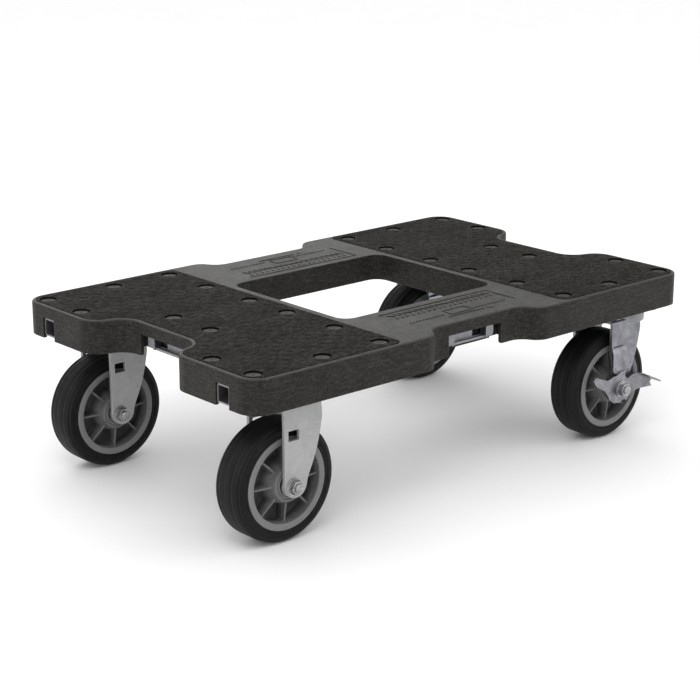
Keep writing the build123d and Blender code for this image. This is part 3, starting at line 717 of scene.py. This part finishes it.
def rivet_spots(side):
    """Centres of one pad's rivets."""
    near, middle, far, by_notch = PAD_INNER + 22, 273, HALF_LENGTH - 22.4, 306
    edge, second, inner, corner = HALF_WIDTH - 28, HALF_WIDTH - 118, 41, HALF_WIDTH - 111
    spots = []
    for sign in (-1, 1):
        spots += [(near, sign * y) for y in (edge, second, inner)]
        spots += [(middle, sign * edge), (far, sign * edge), (far, sign * corner), (by_notch, sign * inner)]
    return [(side * x, y) for x, y in spots]


def inside_pad(x, y):
    """Whether a spot of the right-hand pad is well inside its edge."""
    if not (PAD_INNER + 5 < x < HALF_LENGTH - BAR_MARGIN and abs(y) < HALF_WIDTH - BAR_MARGIN):
        return False
    notch_x = HALF_LENGTH - NOTCH_DEPTH
    t = min(1.0, max(0.0, (abs(y) - NOTCH_FLAT) / (NOTCH_END - NOTCH_FLAT)))
    edge = notch_x + NOTCH_DEPTH * t * t * (3 - 2 * t)
    if x > edge - BAR_MARGIN:
        return False
    corner = Vector((x - (HALF_LENGTH - CORNER), abs(y) - (HALF_WIDTH - CORNER)))
    if corner.x > 0 and corner.y > 0 and corner.length > CORNER - SEAT_RADIUS:
        return False
    return True


def tread_bars(side, length, pitch, height, base):
    """Raised bars in a basket of two directions across a pad."""
    width = BAR_WIDTH
    bm = bmesh.new()
    spots = [Vector(spot) for spot in rivet_spots(side)]
    count = int(HALF_WIDTH / pitch) + 1
    ring = [(math.cos(2 * math.pi * k / 12), math.sin(2 * math.pi * k / 12)) for k in range(12)]
    steps = ((1.0, base - 0.4), (1.0, base), (0.82, base + height * 0.75), (0.5, base + height))
    for i in range(0, int(HALF_LENGTH / pitch) + 1):
        for j in range(-count, count + 1):
            x, y = BAR_FIRST + i * pitch, (j + 0.5) * pitch
            if not inside_pad(x, y):
                continue
            centre = Vector((side * x, y))
            if any((centre - spot).length < SEAT_RADIUS + length * 0.45 for spot in spots):
                continue
            angle = math.radians(45 if (i + j) % 2 else -45) * side
            along = Vector((math.cos(angle), math.sin(angle)))
            across = Vector((-along.y, along.x))
            levels = []
            for grow, level in steps:
                row = []
                for c, s in ring:
                    reach = length / 2 - width / 2 * (1 - grow)
                    half = s * width / 2 * grow * (1.15 - 0.3 * abs(c))
                    spot = centre + along * (c * reach) + across * half
                    row.append(bm.verts.new((spot.x, spot.y, level)))
                levels.append(row)
            for low, high in zip(levels, levels[1:]):
                for k in range(12):
                    n = (k + 1) % 12
                    bm.faces.new((low[k], low[n], high[n], high[k]))
            bm.faces.new(levels[-1])
            bm.faces.new(list(reversed(levels[0])))
    return bm


class DOLLY_OT_deck_relief(bpy.types.Operator):
    """Raise plain lines, ticks and dots on the two side beams of the deck"""

    bl_idname = "dolly.deck_relief"
    bl_label = "Deck relief"

    def execute(self, context):
        height = context.scene.dolly_sizes.relief_height * MM
        low, high = DECK_TOP - 0.8, DECK_TOP + height
        for side, label in ((-1, "front"), (1, "rear")):
            strips = [[(-95, 138), (110.8, 138), (110.8, 139.6), (-95, 139.6)],
                      [(109.2, 141), (110.8, 141), (110.8, 199), (109.2, 199)],
                      [(-26, 204.2), (42, 204.2), (42, 205.8), (-26, 205.8)],
                      [(47, 203), (53, 203), (56, 209), (50, 209)]]
            for k in range(19):
                x = -88 + 10 * k
                strips.append([(x, 147), (x + 4.6, 147), (x + 10.6, 156), (x + 6, 156)])
                strips.append([(x + 6, 158), (x + 10.6, 158), (x + 4.6, 167), (x, 167)])
            for start, count in ((-88, 11), (30, 11)):
                strips += [[(start + 6 * k, 192.8), (start + 6 * k + 3, 192.8),
                            (start + 6 * k + 3, 195), (start + 6 * k, 195)] for k in range(count)]
            ribs = [plate([[(x, side * y) for x, y in strip]], low, high, 0.3, 2) for strip in strips]
            outer = [(-14, side * 177), (29, side * 177), (29, side * 199), (-14, side * 199)]
            inner = [(-12, side * 179), (27, side * 179), (27, side * 197), (-12, side * 197)]
            ribs.append(plate([rounded(outer, 3), rounded(inner, 2)], low, high, 0.3, 2))
            add_piece(label + "_beam_relief", together(*ribs), "deck_plastic")
        return {"FINISHED"}


class DOLLY_OT_socket_walls(bpy.types.Operator):
    """Close the inner ends of the four handle sockets"""

    bl_idname = "dolly.socket_walls"
    bl_label = "Socket walls"

    def execute(self, context):
        walls = []
        for end, label in ((-1, "left"), (1, "right")):
            for side in ("front", "rear"):
                low, high = (Vector(corner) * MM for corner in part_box(f"{side}_{label}_handle_socket"))
                middle = (low + high) / 2
                outline = rounded([(-11.5, -11.5), (11.5, -11.5), (11.5, 11.5), (-11.5, 11.5)], 3)
                wall = standing(plate([outline], -1.0, 1.0, 0.3, 2))
                turned = moved(wall, Matrix.Rotation(math.pi / 2, 4, "Z"))
                inner_end = low.x if end > 0 else high.x
                walls.append(shift(turned, inner_end - end * 1.4, middle.y, middle.z))
        add_piece("socket_end_walls", together(*walls), "deck_plastic")
        return {"FINISHED"}


class DOLLY_OT_tread_pads(bpy.types.Operator):
    """Build both tread pads with their raised bars and rivet seats"""

    bl_idname = "dolly.tread_pads"
    bl_label = "Tread pads"

    def execute(self, context):
        sizes = context.scene.dolly_sizes
        floor = PAD_TOP - PAD_THICKNESS + 0.05
        for side, label in ((1, "right"), (-1, "left")):
            spots = rivet_spots(side)
            outline = [(side * x, y) for x, y in pad_edge(PAD_RIM, PAD_INNER + 0.8)]
            holes = [[(x + a, y + b) for a, b in arc(0, 0, SEAT_RADIUS, 0, 352.5, 47)] for x, y in spots]
            sheet = plate([outline, *holes], floor, PAD_TOP - 0.4, 0.7, 3)
            seats = []
            for x, y in spots:
                reach, thick = SEAT_RADIUS + 0.3, PAD_THICKNESS - SEAT_DEPTH - 0.1
                disc = lathe([(0, 0), (reach, 0), (reach, thick), (0, thick)], 48, closed=False)
                seats.append(shift(upright(disc), x, y, floor + 0.05))
            bars = tread_bars(side, sizes.tread_bar * MM, sizes.tread_pitch * MM, sizes.tread_height * MM,
                              PAD_TOP - 0.4)
            add_piece(label + "_tread_sheet", together(sheet, bars, *seats), "pad_rubber",
                      (label + "_tread_pad",), 40)
        return {"FINISHED"}


class DOLLY_OT_pad_rivets(bpy.types.Operator):
    """Build the dished rivets that hold the pads"""

    bl_idname = "dolly.pad_rivets"
    bl_label = "Pad rivets"

    def execute(self, context):
        profile = [(0, -12), (3, -12), (3, 0), (10.4, 0)]
        profile += arc(9.9, 0.5, 0.5, -60, 90, 5)
        profile += [(7.4, 1.0), (6.9, 0.8), (2.3, 0.75), (1.7, 0.3), (0, 0.2)]
        for side, label in ((-1, "left"), (1, "right")):
            rivets = []
            for x, y in rivet_spots(side):
                rivets.append(shift(upright(lathe(profile, 48, closed=False)), x, y, PAD_TOP - SEAT_DEPTH))
            add_piece(label + "_rivet_heads", together(*rivets), "rivet_plastic",
                      (label + "_pad_rivets",))
        return {"FINISHED"}


# ---------------------------------------------------------------- wheels


def shoulder(*angles):
    """Points of the tyre's rounded shoulder, at angles from the side wall."""
    points = []
    for angle in angles:
        turn = math.radians(angle)
        points.append((TYRE_RADIUS - SHOULDER + SHOULDER * math.sin(turn),
                       TREAD_HALF - SHOULDER + SHOULDER * math.cos(turn)))
    return points


def tyre_section():
    """Closed section of the tyre as (radius, along): one half, then its mirror image."""
    half = [(63.1, 0.0), (63.1, 24.2), (63.7, 24.9), (66.2, 25.0), (66.8, 24.4), (67.8, 24.3), (68.4, 24.9)]
    half += shoulder(0, 9, 18, 27) + [(75.6, 23.0), (75.9, 22.4), (76.9, 22.1)]
    half += shoulder(43, 52, 61, 70, 80)
    half += [(81.0, 13.4), (80.7, 12.9), (80.7, 12.3), (81.0, 11.8), (81.0, 6.0), (81.0, 0.6)]
    return half + [(r, -y) for r, y in reversed(half[1:])]


class DOLLY_OT_tyres(bpy.types.Operator):
    """Build the four tyres with shoulder grooves and mould lines"""

    bl_idname = "dolly.tyres"
    bl_label = "Tyres"

    def execute(self, context):
        mesh = metre_mesh("tyre", lathe(tyre_section(), 160))
        for name, (x, y) in WHEELS.items():
            place_piece(name + "_tread", mesh, "tyre_rubber", name + "_wheel",
                        (x, y, AXLE_Z), (name + "_tyre",), 50)
        return {"FINISHED"}


def core_section():
    """Section of the wheel centre: rim, web, flared hub and bearing seats."""
    half = [(63.0, 0.0), (63.0, 24.6), (62.5, 25.3), (61.7, 25.5), (55.0, 25.5), (54.2, 25.1), (53.9, 24.2)]
    half += [(52.6, 6.0), (51.8, 3.8), (50.2, 2.8), (48.2, 2.5), (36.6, 2.5), (34.2, 2.8), (32.4, 3.8),
             (31.0, 6.0), (28.6, 14.0), (26.2, 20.5), (24.5, 25.5), (23.6, 29.2), (23.1, 29.8), (22.4, 30.0),
             (20.4, 30.0), (20.0, 29.6), (19.8, 28.6), (18.4, 28.6), (18.2, 29.6), (17.8, 30.0),
             (16.3, 30.0), (15.6, 29.5), (15.5, 16.2), (12.0, 16.2)]
    return half + [(r, -y) for r, y in reversed(half[1:])]


class DOLLY_OT_wheel_cores(bpy.types.Operator):
    """Build the four wheel centres with their ribs"""

    bl_idname = "dolly.wheel_cores"
    bl_label = "Wheel centres"

    def execute(self, context):
        body = lathe(core_section(), 128)
        ribs = []
        for k in range(SPOKES):
            web = [(22.0, -24.0), (26.0, -22.8), (54.6, -19.0), (54.6, 19.0), (26.0, 22.8), (22.0, 24.0)]
            rib = plate([web], -SPOKE_HALF, SPOKE_HALF, 0.5, 2)
            ribs.append(moved(rib, Matrix.Rotation(math.radians(360 / SPOKES * k), 4, "Y")))
        mesh = metre_mesh("wheel_centre", cut(body, together(*ribs), how="UNION"))
        for name, (x, y) in WHEELS.items():
            place_piece(name + "_centre", mesh, "core_plastic", name + "_wheel",
                        (x, y, AXLE_Z), (name + "_wheel_core",), 32)
        return {"FINISHED"}


# ---------------------------------------------------------------- forks


def leg_front(w):
    """Front edge of a fork leg at a height above the axle."""
    if w < FOOT_LEVEL:
        return FOOT_X + math.sqrt(max(0.0, FOOT_RADIUS ** 2 - (w - FOOT_LEVEL) ** 2))
    waist = FOOT_X + FOOT_RADIUS + 2.5
    if w < CURVE_LOW:
        return FOOT_X + FOOT_RADIUS + 2.5 * (w - FOOT_LEVEL) / (CURVE_LOW - FOOT_LEVEL)
    if w < CURVE_HIGH:
        t = (w - CURVE_LOW) / (CURVE_HIGH - CURVE_LOW)
        return waist + (LEG_FRONT - waist) * (1.66 * t - 0.83 * t * t + 0.17 * t ** 3)
    return LEG_FRONT - 2 * (w - CURVE_HIGH) / (FORK_TOP - CURVE_HIGH)


def leg_rear(w):
    """Back edge of a fork leg at a height above the axle."""
    if w < FOOT_LEVEL:
        return FOOT_X - math.sqrt(max(0.0, FOOT_RADIUS ** 2 - (w - FOOT_LEVEL) ** 2))
    return LEG_BACK


def pressed_fork(top, bend=6.0):
    """Both legs and the web between them as one bent sheet, outer face given, about the axle."""
    rows = []
    heights = [FOOT_LEVEL - FOOT_RADIUS * math.cos(math.radians(t)) for t in (6, 16, 28, 40, 52, 64, 76, 90)]
    heights += [FOOT_LEVEL + k * (top - bend - FOOT_LEVEL) / 30 for k in range(1, 31)]
    for w in heights:
        rows.append((-LEG_OUTER, w, leg_rear(w), leg_front(w)))
    for t in (15, 30, 45, 60, 75, 90):
        a = math.radians(t)
        w = top - bend + bend * math.sin(a)
        rows.append((-LEG_OUTER + bend - bend * math.cos(a), w, leg_rear(w), leg_front(w)))
    crown = [(-LEG_OUTER + bend + k * (2 * (LEG_OUTER - bend)) / 6, top, leg_rear(top), leg_front(top))
             for k in range(1, 6)]
    rows += crown + [(-y, w, a, b) for y, w, a, b in reversed(rows)]
    bm = bmesh.new()
    columns = 10
    grid = []
    for y, w, back, front in rows:
        grid.append([bm.verts.new((back + (front - back) * c / columns, y, w)) for c in range(columns + 1)])
    for low, high in zip(grid, grid[1:]):
        for c in range(columns):
            bm.faces.new((low[c], low[c + 1], high[c + 1], high[c]))
    bmesh.ops.recalc_face_normals(bm, faces=bm.faces)
    return bm


def fork_blank(top):
    """Bent sheet of the legs, given its thickness inwards."""
    sheet = pressed_fork(top)
    probe = max(sheet.faces, key=lambda face: face.calc_center_median().z)
    if probe.normal.z < 0:
        bmesh.ops.reverse_faces(sheet, faces=sheet.faces)
    return shaped(sheet, [("SOLIDIFY", {"thickness": LEG_THICK, "offset": -1.0, "use_even_offset": True,
                                        "use_quality_normals": True})])


def rounded_edges(bm, width, segments=3, angle=40):
    return shaped(bm, [("BEVEL", {"width": width, "segments": segments, "limit_method": "ANGLE",
                                  "angle_limit": math.radians(angle), "use_clamp_overlap": True,
                                  "harden_normals": False, "miter_outer": "MITER_ARC"})])


def drill(radius, start, end):
    """Round cutter along Y."""
    return lathe([(0, start), (radius, start), (radius, end), (0, end)], 40, closed=False)


def bolt_hole_outlines(radius):
    return [[(x + a, y + b) for a, b in arc(0, 0, radius, 0, 345, 23)]
            for x in (-40, 40) for y in (-34, 34)]


def caster_plate(low, high, edge):
    corners = [(-51, -46), (51, -46), (51, 46), (-51, 46)]
    return plate([rounded(corners, 8, 8), *bolt_hole_outlines(4.4)], low, high, edge)


class DOLLY_OT_fixed_forks(bpy.types.Operator):
    """Build the pressed forks of the fixed casters"""

    bl_idname = "dolly.fixed_forks"
    bl_label = "Fixed forks"

    def execute(self, context):
        edge = context.scene.dolly_sizes.steel_edge * MM
        blank = fork_blank(FORK_TOP)
        window = rounded([(-8, 61), (10, 61), (10, 75), (-8, 75)], 0.8, 3)
        windows = standing(prism(window, -60, 60))
        legs = rounded_edges(cut(blank, windows, drill(AXLE_HOLE, -60, 60)), edge)
        top = shift(caster_plate(FORK_TOP, FORK_TOP + FORK_PLATE, edge), FORK_MIDDLE)
        mesh = metre_mesh("fixed_fork", together(legs, top))
        for name in ("front_left", "rear_left"):
            x, y = WHEELS[name]
            place_piece(name + "_pressed_fork", mesh, "fork_zinc", "platform",
                        (x, y, AXLE_Z), (name + "_fork",))
        return {"FINISHED"}


class DOLLY_OT_swivel_yokes(bpy.types.Operator):
    """Build the yokes of the swivel casters and the plates they turn under"""

    bl_idname = "dolly.swivel_yokes"
    bl_label = "Swivel yokes"

    def execute(self, context):
        edge = context.scene.dolly_sizes.steel_edge * MM
        blank = fork_blank(YOKE_TOP)
        slot = rounded([(-9.5, 59.8), (9.5, 59.8), (9.5, 64.2), (-9.5, 64.2)], 0.8, 3)
        slot = standing(prism(slot, 30, 60))
        bore = drill(AXLE_HOLE, -60, 60)
        pad_hole = shift(drill(AXLE_HOLE, -60, -20), 0, 0, 36)
        kingpin = shift(upright(drill(KINGPIN_HOLE, -20, 20)), TRAIL, 0, 100)
        legs = rounded_edges(cut(blank, slot, bore, pad_hole, kingpin), edge)
        section = [(KINGPIN_HOLE, 98.2), (38.0, 98.2), (38.5, 97.6), (38.5, 94.0), (39.0, 93.5), (41.2, 93.5),
                   (42.0, 94.3), (42.0, 105.5), (41.2, 107.4), (39.4, 108.4), (36.0, 108.5), (30.6, 108.5),
                   (30.0, 107.6), (28.6, 106.4), (27.0, 105.9), (25.4, 106.4), (24.0, 107.6), (23.4, 108.5),
                   (KINGPIN_HOLE, 108.5)]
        dish = upright(lathe(section, 120))
        low = min(v.co.z for v in dish.verts)
        shift(dish, TRAIL, 0, 93.5 - low)
        mesh = metre_mesh("swivel_yoke", together(legs, dish))
        for name in ("front_right", "rear_right"):
            x, y = WHEELS[name]
            place_piece(name + "_pressed_yoke", mesh, "brake_zinc", name + "_swivel_fork",
                        (x, y, AXLE_Z), (name + "_yoke",))
        return {"FINISHED"}


class DOLLY_OT_steel_edges(bpy.types.Operator):
    """Round the edges of the steel parts carried over from the frame"""

    bl_idname = "dolly.steel_edges"
    bl_label = "Steel edges"

    def execute(self, context):
        edge = context.scene.dolly_sizes.steel_edge
        steel = ("anchor", "socket", "brake", "axle", "kingpin", "bolts", "plate")
        for node, thing in frame["nodes"].items():
            if not any(word in node for word in steel):
                continue
            flat = thing.modifiers.new("flat faces", "DECIMATE")
            flat.decimate_type = "DISSOLVE"
            flat.angle_limit = math.radians(1.5)
            soft = thing.modifiers.new("soft edges", "BEVEL")
            soft.width = edge * 0.7
            soft.segments = 2
            soft.limit_method = "ANGLE"
            soft.angle_limit = math.radians(40)
        return {"FINISHED"}


# ---------------------------------------------------------------- stage


CAMERA_LENS, CAMERA_AWAY = 94.5, 2.333
CAMERA_TURN, CAMERA_RISE = -41.42, 16.8164
CAMERA_AIM = (-0.23134, -0.23530, 0.245)
FLOOR_DROP = 0.0005


def soft_light(name, place, aim, size, power):
    """Square soft box that points at a spot."""
    lamp = bpy.data.lights.new(name, "AREA")
    lamp.shape = "RECTANGLE"
    lamp.size, lamp.size_y = size
    lamp.energy = power
    thing = bpy.data.objects.new(name, lamp)
    thing.location = place
    thing.rotation_mode = "QUATERNION"
    thing.rotation_quaternion = (Vector(aim) - Vector(place)).to_track_quat("-Z", "Y")
    bpy.context.scene.collection.objects.link(thing)
    return thing


class DOLLY_OT_stage(bpy.types.Operator):
    """Lay the floor, set the soft lights and place the camera"""

    bl_idname = "dolly.stage"
    bl_label = "Stage"

    def execute(self, context):
        scene = context.scene
        floor_paint(tuple(scene.dolly_colours.floor))
        section = [(0, 0), (4.5, 0), (6.5, 0), (7.4, 0.12), (8.1, 0.5), (8.6, 1.2), (8.8, 2.2), (8.8, 5.0)]
        bm = upright(lathe(section, 96, closed=False))
        bmesh.ops.reverse_faces(bm, faces=bm.faces)
        mesh = bpy.data.meshes.new("floor")
        bm.to_mesh(mesh)
        bm.free()
        mesh.shade_smooth()
        mesh.materials.append(finish_called("studio_floor"))
        floor = bpy.data.objects.new("floor", mesh)
        floor.location.z = -FLOOR_DROP
        scene.collection.objects.link(floor)

        world = bpy.data.worlds.new("studio")
        world.use_nodes = True
        world.node_tree.nodes["Background"].inputs[0].default_value = (1, 1, 1, 1)
        world.node_tree.nodes["Background"].inputs[1].default_value = 0.86
        scene.world = world
        scene.view_settings.view_transform = "Standard"
        scene.view_settings.exposure = 0.35

        soft_light("key", (-1.6, -1.2, 2.4), (0, 0, 0.1), (1.2, 1.2), 14)
        soft_light("back", (0.9, 2.4, 1.6), (0, 0, 0.2), (2.4, 1.0), 12)
        soft_light("side", (2.4, -1.8, 1.1), (0.1, 0, 0.15), (0.9, 0.9), 5)

        camera = bpy.data.cameras.new("camera")
        camera.sensor_width = 36
        camera.lens = CAMERA_LENS
        camera.clip_start, camera.clip_end = 0.05, 60
        camera.dof.use_dof = False
        thing = bpy.data.objects.new("camera", camera)
        turn, rise = math.radians(CAMERA_TURN), math.radians(CAMERA_RISE)
        back = Vector((math.sin(turn) * math.cos(rise), -math.cos(turn) * math.cos(rise), math.sin(rise)))
        thing.location = Vector(CAMERA_AIM) + back * CAMERA_AWAY
        thing.rotation_mode = "QUATERNION"
        thing.rotation_quaternion = (-back).to_track_quat("-Z", "Y")
        scene.collection.objects.link(thing)
        scene.camera = thing
        return {"FINISHED"}


# ---------------------------------------------------------------- panel and registration

OPERATORS = (
    DOLLY_OT_finishes,
    DOLLY_OT_deck_relief,
    DOLLY_OT_socket_walls,
    DOLLY_OT_tread_pads,
    DOLLY_OT_pad_rivets,
    DOLLY_OT_tyres,
    DOLLY_OT_wheel_cores,
    DOLLY_OT_fixed_forks,
    DOLLY_OT_swivel_yokes,
    DOLLY_OT_steel_edges,
    DOLLY_OT_stage,
)


class DOLLY_PT_workshop(bpy.types.Panel):
    """Sizes, colours and building steps of the dolly"""

    bl_label = "Platform dolly"
    bl_idname = "DOLLY_PT_workshop"
    bl_space_type = "VIEW_3D"
    bl_region_type = "UI"
    bl_category = "Dolly"

    def draw(self, context):
        layout = self.layout
        for holder in (context.scene.dolly_sizes, context.scene.dolly_colours):
            column = layout.column(align=True)
            for name in type(holder).__annotations__:
                column.prop(holder, name)
        for operator in OPERATORS:
            layout.operator(operator.bl_idname)


CLASSES = (DollySizes, DollyColours, *OPERATORS, DOLLY_PT_workshop)


def register():
    for cls in CLASSES:
        bpy.utils.register_class(cls)
    bpy.types.Scene.dolly_sizes = bpy.props.PointerProperty(type=DollySizes)
    bpy.types.Scene.dolly_colours = bpy.props.PointerProperty(type=DollyColours)


def unregister():
    del bpy.types.Scene.dolly_colours
    del bpy.types.Scene.dolly_sizes
    for cls in reversed(CLASSES):
        bpy.utils.unregister_class(cls)


def main():
    register()
    bpy.ops.dolly.finishes()
    bpy.ops.dolly.deck_relief()
    bpy.ops.dolly.socket_walls()
    bpy.ops.dolly.tread_pads()
    bpy.ops.dolly.pad_rivets()
    bpy.ops.dolly.tyres()
    bpy.ops.dolly.wheel_cores()
    bpy.ops.dolly.fixed_forks()
    bpy.ops.dolly.swivel_yokes()
    bpy.ops.dolly.steel_edges()
    bpy.ops.dolly.stage()


if __name__ == "__main__":
    main()
